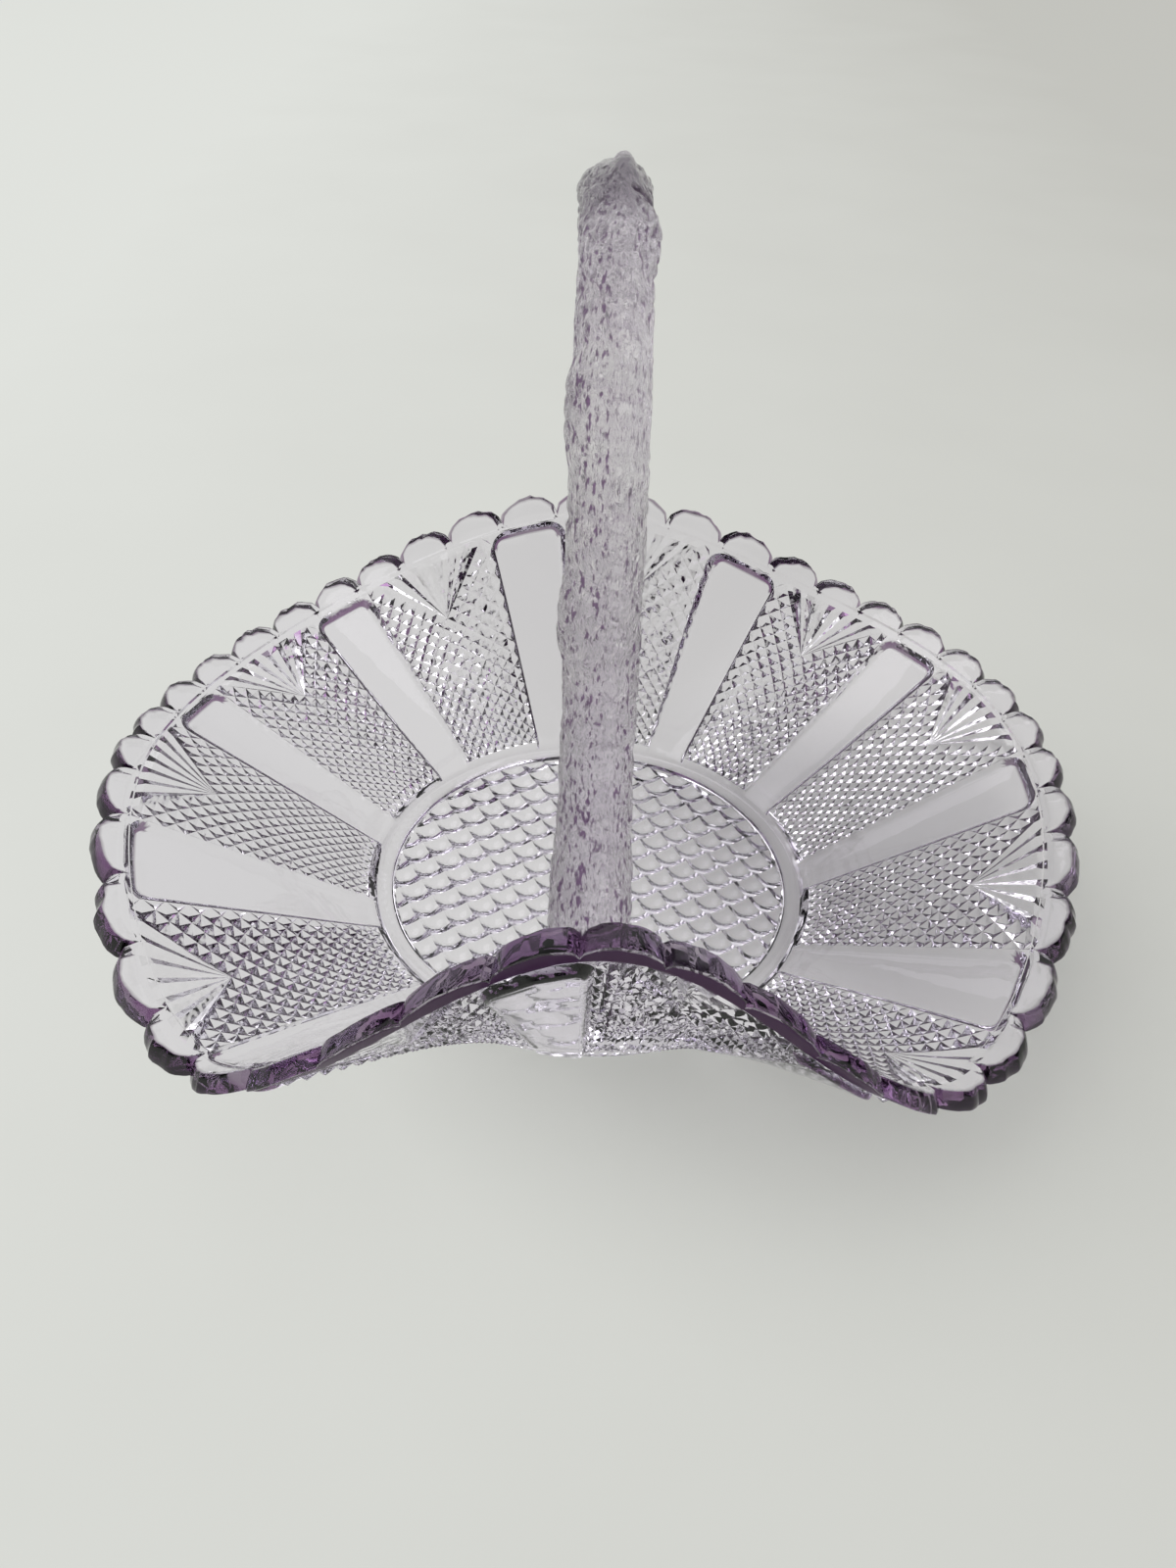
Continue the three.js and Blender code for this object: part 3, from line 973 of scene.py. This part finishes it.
def section_at(travelled):
    """Half width, half depth, and the share of both that the rounded heel leaves."""
    flare = 1 - smooth_step(travelled, RIM_AT, RIM_AT + FOOT_WIDTH)
    half_width = BAIL_WIDTH / 2 + (FOOT_WIDTH - BAIL_WIDTH) / 2 * flare
    half_depth = FOOT_PAD / 2 + (BAIL_DEPTH - FOOT_PAD) / 2 * smooth_step(travelled, 0, RIM_AT)
    heel = sqrt(1 - (1 - min(1.0, (travelled + HEEL_START) / HEEL_ROUND)) ** 2)
    return half_width, half_depth, heel


def knots_at(travelled, across):
    """How far the knots push the surface sideways."""
    swell = 0.0
    for at, side in KNOTS:
        hump = max(0.0, 1 - ((travelled - RIM_AT - at) / KNOT_LENGTH) ** 2)
        swell += side * KNOT_HEIGHT * max(0.0, across * side) * hump
    return swell


print("arm at the rim:", [round(2 * size, 1) for size in section_at(RIM_AT)[:2]], "mm")

# %% [markdown]
# The bark is a net of furrows in long narrow cells. A Displace modifier with a texture would be
# quick, but the glass has to know where the furrows are, so the depth is worked out here: cracks
# between the cells of a Voronoi noise, and folds where a soft noise crosses zero. A mould seam
# runs up the front of the arm, and a patch beside it is worn smooth, which also leaves it paler
# as a painted highlight on that side of the arm.

# %% Bark
FURROW_DEPTH = 0.45
FURROW_MEAN = 0.3
CRACK_SCALE = 0.6
CRACK_WIDTH = 0.25
FOLD_SCALE = 0.4
FOLD_WIDTH = 0.2
BARK_RADIUS = 5.0
BARK_STRETCH = 0.4
BARK_APART = 40.0
SEAM_TURN = 1.85
SEAM_WIDTH = 0.22
SEAM_SMOOTH = 0.75
WORN_TURN = 2.35
WORN_WIDTH = 0.5
WORN_AT = 62.0
WORN_LENGTH = 22.0
WORN_SMOOTH = 0.4


def furrow_at(spot):
    """Depth of the bark at a place on an arm, from 0 on a ridge to 1 in a furrow."""
    near, next_near = noise.voronoi(spot * CRACK_SCALE)[0][:2]
    crack = exp(-(((next_near - near) / CRACK_WIDTH) ** 2))
    fold = exp(-((noise.noise(spot * FOLD_SCALE) / FOLD_WIDTH) ** 2))
    return (crack + fold) / 2


def rough_at(turn, travelled):
    """How rough the skin is, from about a quarter on the seam to 1."""
    seam = exp(-(((turn - SEAM_TURN) / SEAM_WIDTH) ** 2))
    beside = ((turn - WORN_TURN) / WORN_WIDTH) ** 2
    beyond = ((travelled - RIM_AT - WORN_AT) / WORN_LENGTH) ** 2
    # The worn patch smooths the bark and shows paler there, a painted highlight on that side.
    worn_and_highlit = exp(-beside - beyond)
    return (1 - SEAM_SMOOTH * seam) * (1 - WORN_SMOOTH * worn_and_highlit)


print("roughness on the seam:", round(rough_at(SEAM_TURN, 0.0), 2))

# %% [markdown]
# At the crown the near arm lies over the far one. It ends in a small pinched crest, where it was
# let go, and the lap stays open in a slit on one side, dark with painted shade. The arm also
# darkens towards the crown, partly as thick glass and partly with painted shade. A boolean could
# cut the slit, but a narrow dip in the same sheet leaves no loose edges.

# %% Crown
CREST_HEIGHT = 1.6
CREST_LENGTH = 9.0
CREST_TURN = 1.81
CREST_POINT = 12
# Painted shade that darkens the arm towards the crown.
CROWN_SHADE = 0.55
CROWN_FADE = 60.0
SLIT_START = 1.88
SLIT_END = 2.95
SLIT_FADE = 0.15
SLIT_BACK = 5.9
SLIT_SLANT = 2.0
SLIT_WIDTH = 0.3
SLIT_SPREAD = 0.6
SLIT_DEPTH = 1.2
# Painted shade in the slit.
SLIT_SHADE = 6.0


def crest_at(turn, travelled):
    length = smooth_step(travelled, ARM_LENGTH - CREST_LENGTH, ARM_LENGTH)
    return CREST_HEIGHT * length * max(0.0, cos(turn - CREST_TURN)) ** CREST_POINT


def slit_at(turn, travelled):
    """The open end of the lap: 1 in the middle of the slit, 0 away from it."""
    along = turn - SLIT_START
    off_line = ARM_LENGTH - travelled - (SLIT_BACK - SLIT_SLANT * along)
    width = SLIT_WIDTH + SLIT_SPREAD * max(0.0, along)
    opens = smooth_step(turn, SLIT_START, SLIT_START + SLIT_FADE)
    closes = smooth_step(turn, SLIT_END - SLIT_FADE, SLIT_END)
    return (opens - closes) * exp(-((off_line / width) ** 2))


print("crest:", round(crest_at(CREST_TURN, ARM_LENGTH), 1), "mm high")

# %% [markdown]
# A flat sheet is rolled into the arm: its columns go round the section and its rows along the
# path. Skin and Screw modifiers make tubes too, but here every point needs its own depth. The
# tube is then cut by the slanting plane of the lap and closed, so that the arms meet in it.

# %% Rolling a sheet
ARM_SIDES = 120
ARM_RINGS = 540


@lru_cache(maxsize=None)
def on_path(travelled):
    """Point and heading at a distance along the arm."""
    for k in range(1, len(PATH_AT)):
        if PATH_AT[k] >= travelled or k == len(PATH_AT) - 1:
            step = PATH[k] - PATH[k - 1]
            share = (travelled - PATH_AT[k - 1]) / (PATH_AT[k] - PATH_AT[k - 1])
            return PATH[k - 1] + step * share, step.normalized()


def roll_point(facing, travelled, turn, sunk, crest):
    middle, heading = on_path(travelled)
    half_width, half_depth, heel = section_at(travelled)
    side = ((half_width - sunk) * cos(turn)) * heel + knots_at(travelled, cos(turn))
    depth = ((half_depth - sunk) * sin(turn)) * heel + crest
    return Vector((
        facing * side + BAIL_LEAN * (travelled / ARM_LENGTH) ** 2,
        facing * (middle.x + heading.y * depth),
        middle.y - heading.x * depth,
    )) * MM


def roll_sheet(bm, facing, on_top):
    furrow_and_shade_layer = bm.verts.layers.float.new("furrow")
    rough_layer = bm.verts.layers.float.new("rough")
    bark_layer = bm.verts.layers.float_vector.new("bark")
    for vert in bm.verts:
        travelled = round((vert.co.y + 0.5) * PATH_AT[-1], 5)
        turn = 2 * pi * (vert.co.x + 0.5)
        spot = Vector((
            cos(turn) * BARK_RADIUS, sin(turn) * BARK_RADIUS,
            travelled * BARK_STRETCH + BARK_APART * facing,
        ))
        rough = rough_at(turn, travelled)
        furrow = rough * furrow_at(spot)
        slit = on_top * slit_at(turn, travelled)
        crown = smooth_step(travelled, ARM_LENGTH - CROWN_FADE, ARM_LENGTH)
        vert[bark_layer] = spot
        vert[rough_layer] = rough
        # For the colour, painted shade towards the crown and in the slit is added to the furrow
        # depth.
        vert[furrow_and_shade_layer] = furrow + CROWN_SHADE * crown + SLIT_SHADE * slit
        sunk = FURROW_DEPTH * (furrow - FURROW_MEAN) + SLIT_DEPTH * slit
        vert.co = roll_point(facing, travelled, turn, sunk, on_top * crest_at(turn, travelled))
    bmesh.ops.remove_doubles(bm, verts=bm.verts, dist=WELD)


print("sheet of an arm:", ARM_SIDES, "by", ARM_RINGS, "faces")

# %% The two arms
LAP_ANGLE = radians(35.0)


def roll_arm(name, facing, on_top):
    bm = bmesh.new()
    bmesh.ops.create_grid(bm, x_segments=ARM_SIDES, y_segments=ARM_RINGS, size=0.5)
    roll_sheet(bm, facing, on_top)
    lap = Vector((0.0, 1.0, -tan(LAP_ANGLE)))
    bmesh.ops.bisect_plane(
        bm, geom=[*bm.verts, *bm.edges, *bm.faces], dist=TRIM_SLACK,
        plane_co=(0.0, 0.0, CROWN * MM), plane_no=lap * -facing, clear_outer=True,
    )
    bmesh.ops.holes_fill(bm, edges=[edge for edge in bm.edges if edge.is_boundary], sides=0)
    return make_piece(bm, name, BARK_GLASS)


near_arm = roll_arm("bark_near_arm", -1, on_top=True)
far_arm = roll_arm("bark_far_arm", 1, on_top=False)
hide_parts("near_arm")
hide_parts("far_arm")

# %% [markdown]
# Glass is all about what stands round it, and most of what shows through a dish is the floor
# under it. The floor is pale paper, a little mottled, and darker to the right with painted shade
# where less light falls. It could just be lit, but light comes through glass in bright spots that
# are slow to render, so it would be too dark there. Instead the camera, and rays that leave the
# glass, see the paper glow in its own colour, a painted light, away from the basket, and more and
# more of the lit floor with its shadow close under it.

# %% Floor
FLOOR_RADIUS = 1.6
FLOOR_SIDES = 96
FLOOR_DROP = 0.05 * MM
PALE_SIDE = (0.74, 0.755, 0.72, 1.0)
# The right side is darker with painted shade, where less window light falls.
PAINTED_SHADE_SIDE = (0.56, 0.56, 0.525, 1.0)
SIDE_MIDDLE = 0.42
SIDE_SLOPE = 2.0
MOTTLE_SCALE = 14.0
MOTTLE_SHARE = 0.2
PAPER_ROUGHNESS = 0.8
SHADE_MIDDLE = (0.06, 0.01, 0.0)
SHADE_SCALE = 5.0
PAPER_GLOW = ((0.16, 0.12), (0.27, 0.36), (0.4, 0.55), (0.56, 0.9))
SEEN_BY = ("Is Camera Ray", "Is Glossy Ray", "Is Transmission Ray")


def floor_finish():
    material, wire = new_material("pale_floor")
    place = wire.node("TexCoord", output="Object")
    across = wire.node("SeparateXYZ", None, {"Vector": place}, output="X")
    mottle = cloud(wire, place, MOTTLE_SCALE, detail=4.0)
    # Pale paper to the left and painted shade to the right, with a little mottle.
    colour = wire.node("Mix", {"data_type": "RGBA"}, {
        "Factor": SIDE_MIDDLE + across * SIDE_SLOPE + (mottle - 0.5) * MOTTLE_SHARE,
        "A": PALE_SIDE, "B": PAINTED_SHADE_SIDE,
    }, output=2)
    lit = wire.node("BsdfPrincipled", None, {"Base Color": colour, "Roughness": PAPER_ROUGHNESS})
    # Painted light: the paper glows in its own colour, less of it close under the basket.
    glowing_paper = wire.node("Emission", None, {"Color": colour, "Strength": 1.0})
    seen = sum(wire.node("LightPath", output=kind) for kind in SEEN_BY)
    apart = wire.node(
        "VectorMath", {"operation": "DISTANCE"}, {0: place, 1: SHADE_MIDDLE}, output="Value",
    )
    glow = ramp(wire, apart * SHADE_SCALE, [(at, (share,) * 3) for at, share in PAPER_GLOW])
    surface = wire.node("MixShader", None, {"Fac": seen * glow, 1: lit, 2: glowing_paper})
    wire.node("OutputMaterial", None, {"Surface": surface})
    return material


def make_floor():
    bm = bmesh.new()
    bmesh.ops.create_circle(bm, cap_ends=True, segments=FLOOR_SIDES, radius=FLOOR_RADIUS)
    bmesh.ops.translate(bm, verts=bm.verts, vec=(0.0, 0.0, -FLOOR_DROP))
    mesh = bpy.data.meshes.new("floor")
    bm.to_mesh(mesh)
    bm.free()
    mesh.materials.append(floor_finish())
    floor = bpy.data.objects.new("floor", mesh)
    scene.collection.objects.link(floor)


make_floor()
print("floor:", 2 * FLOOR_RADIUS, "m across")

# %% [markdown]
# The room is a soft window light from above, behind and to the left, over a pale backdrop. Many
# lamps could be set up, but glass shows each of them as a spot. A gradient on the world does most
# of it: bright overhead and behind, dark on the near side, which gives the dark lines in the
# glass, and pale round the horizon for every ray alike. One broad lamp adds the direction, and
# is kept out of reflections, where it would show as a hard disc.

# %% Room and lamp
BACKDROP = (0.66, 0.67, 0.64, 1.0)
BACKDROP_FADE = ((0.16, (1, 1, 1)), (0.32, (0, 0, 0)))
ROOM_LIGHT = (
    (0.0, (0.02, 0.02, 0.02)), (0.3, (0.10, 0.10, 0.10)), (0.7, (0.70, 0.71, 0.71)),
    (1.0, (0.9, 0.9, 0.89)),
)
ROOM_DIM = 0.12
LIGHT_FROM = (-0.15, 0.3, 0.8)
WINDOW_PLACE = Vector((-0.65, 0.15, 0.85))
WINDOW_AIM = Vector((0.0, 0.0, 0.03))
WINDOW_SIZE = 1.6
WINDOW_POWER = 9.0


def make_room():
    world = bpy.data.worlds.new("room")
    world.use_nodes = True
    world.node_tree.nodes.clear()
    wire = Wire(world.node_tree)
    direction = wire.node("TexCoord", output="Generated")
    height = wire.node("SeparateXYZ", None, {"Vector": direction}, output="Z")
    towards_light = wire.node(
        "VectorMath", {"operation": "DOT_PRODUCT"}, {0: direction, 1: LIGHT_FROM}, output="Value",
    )
    light = ramp(wire, ROOM_DIM + towards_light, ROOM_LIGHT)
    colour = wire.node("Mix", {"data_type": "RGBA"}, {
        "Factor": ramp(wire, height, BACKDROP_FADE), "A": light, "B": BACKDROP,
    }, output=2)
    sky = wire.node("Background", None, {"Color": colour, "Strength": 1.0})
    wire.node("OutputWorld", None, {"Surface": sky})
    scene.world = world


def make_window():
    data = bpy.data.lights.new("window", "AREA")
    data.shape = "DISK"
    data.size = WINDOW_SIZE
    data.energy = WINDOW_POWER
    lamp = bpy.data.objects.new("window", data)
    lamp.location = WINDOW_PLACE
    lamp.visible_glossy = False
    lamp.rotation_euler = (WINDOW_AIM - WINDOW_PLACE).to_track_quat("-Z", "Y").to_euler()
    scene.collection.objects.link(lamp)


make_room()
make_window()
scene.view_settings.view_transform = "Standard"
